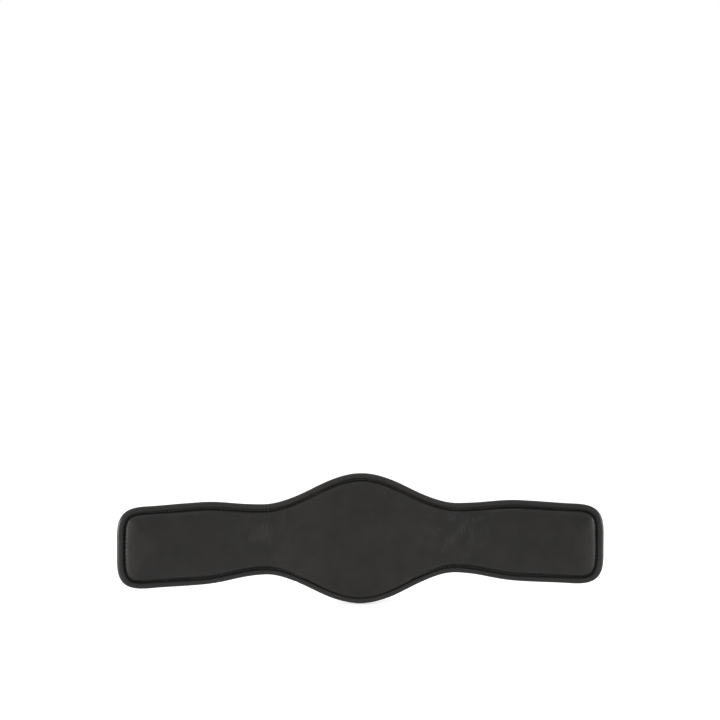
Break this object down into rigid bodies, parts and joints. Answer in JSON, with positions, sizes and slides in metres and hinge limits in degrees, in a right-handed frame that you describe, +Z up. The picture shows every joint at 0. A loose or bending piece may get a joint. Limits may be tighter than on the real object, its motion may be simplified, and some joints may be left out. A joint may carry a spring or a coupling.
{
  "type": "padded girth belly pad",
  "caption": "Long padded leather pad with a rounded middle bulge, slim necks and rolled edges, held on a girth strap by snap keepers.",
  "frame": {"origin": "centre of the back cover's outer face, where the girth strap lies", "axes": "+X along the pad to its right-hand end, +Y out of the back, away from the belly, +Z up across the pad's width"},
  "size_m": [0.579, 0.0796, 0.162],
  "materials": {
    "face_leather": "soft black grained leather, semi-matt",
    "back_leather": "firmer black leather, semi-matt",
    "foam": "closed-cell padding, hidden inside",
    "filler_cord": "soft filler cord, hidden in the rolled edge",
    "load_web": "woven load-spreading web, hidden inside",
    "thread": "black waxed thread",
    "snap_metal": "nickel-plated snap"
  },
  "bodies": {
    "pad_centre": {"centre_belly_panel": "face_leather", "centre_foam_core": "foam", "centre_edge_roll": "face_leather", "centre_edge_cord": "filler_cord", "centre_load_web": "load_web", "centre_back_cover": "back_leather", "centre_rim_stitching": "thread", "left_inner_keeper_sewn_end": "back_leather", "left_inner_keeper_stitching": "thread", "left_inner_snap_stud": "snap_metal", "left_inner_snap_post": "snap_metal", "right_inner_keeper_sewn_end": "back_leather", "right_inner_keeper_stitching": "thread", "right_inner_snap_stud": "snap_metal", "right_inner_snap_post": "snap_metal"},
    "left_wing": {"left_belly_panel": "face_leather", "left_foam_core": "foam", "left_edge_roll": "face_leather", "left_edge_cord": "filler_cord", "left_load_web": "load_web", "left_back_cover": "back_leather", "left_rim_stitching": "thread", "left_outer_keeper_sewn_end": "back_leather", "left_outer_keeper_stitching": "thread", "left_outer_snap_stud": "snap_metal", "left_outer_snap_post": "snap_metal"},
    "right_wing": {"right_belly_panel": "face_leather", "right_foam_core": "foam", "right_edge_roll": "face_leather", "right_edge_cord": "filler_cord", "right_load_web": "load_web", "right_back_cover": "back_leather", "right_rim_stitching": "thread", "right_outer_keeper_sewn_end": "back_leather", "right_outer_keeper_stitching": "thread", "right_outer_snap_stud": "snap_metal", "right_outer_snap_post": "snap_metal"},
    "left_outer_keeper": {"left_outer_keeper_strap": "back_leather", "left_outer_snap_cap": "snap_metal", "left_outer_snap_socket": "snap_metal"},
    "left_inner_keeper": {"left_inner_keeper_strap": "back_leather", "left_inner_snap_cap": "snap_metal", "left_inner_snap_socket": "snap_metal"},
    "right_inner_keeper": {"right_inner_keeper_strap": "back_leather", "right_inner_snap_cap": "snap_metal", "right_inner_snap_socket": "snap_metal"},
    "right_outer_keeper": {"right_outer_keeper_strap": "back_leather", "right_outer_snap_cap": "snap_metal", "right_outer_snap_socket": "snap_metal"}
  },
  "joints": [
    {"name": "left_outer_keeper_opens", "type": "hinge", "parent": "left_wing", "child": "left_outer_keeper", "pos_m": [-0.20412, -0.02529, 0.027], "axis": [0.9397, 0.342, 0], "range_deg": [0, 90]},
    {"name": "left_inner_keeper_opens", "type": "hinge", "parent": "pad_centre", "child": "left_inner_keeper", "pos_m": [-0.06, 0.0033, 0.027], "axis": [1, 0, 0], "range_deg": [0, 90]},
    {"name": "right_inner_keeper_opens", "type": "hinge", "parent": "pad_centre", "child": "right_inner_keeper", "pos_m": [0.06, 0.0033, 0.027], "axis": [1, 0, 0], "range_deg": [0, 90]},
    {"name": "right_outer_keeper_opens", "type": "hinge", "parent": "right_wing", "child": "right_outer_keeper", "pos_m": [0.20412, -0.02529, 0.027], "axis": [0.9397, -0.342, 0], "range_deg": [0, 90]},
    {"name": "left_wing_bends", "type": "hinge", "parent": "pad_centre", "child": "left_wing", "pos_m": [-0.125, 0, 0], "axis": [0, 0, 1], "range_deg": [-20, 30], "stiffness_Nm_per_rad": 0.8},
    {"name": "right_wing_bends", "type": "hinge", "parent": "pad_centre", "child": "right_wing", "pos_m": [0.125, 0, 0], "axis": [0, 0, -1], "range_deg": [-20, 30], "stiffness_Nm_per_rad": 0.8}
  ]
}
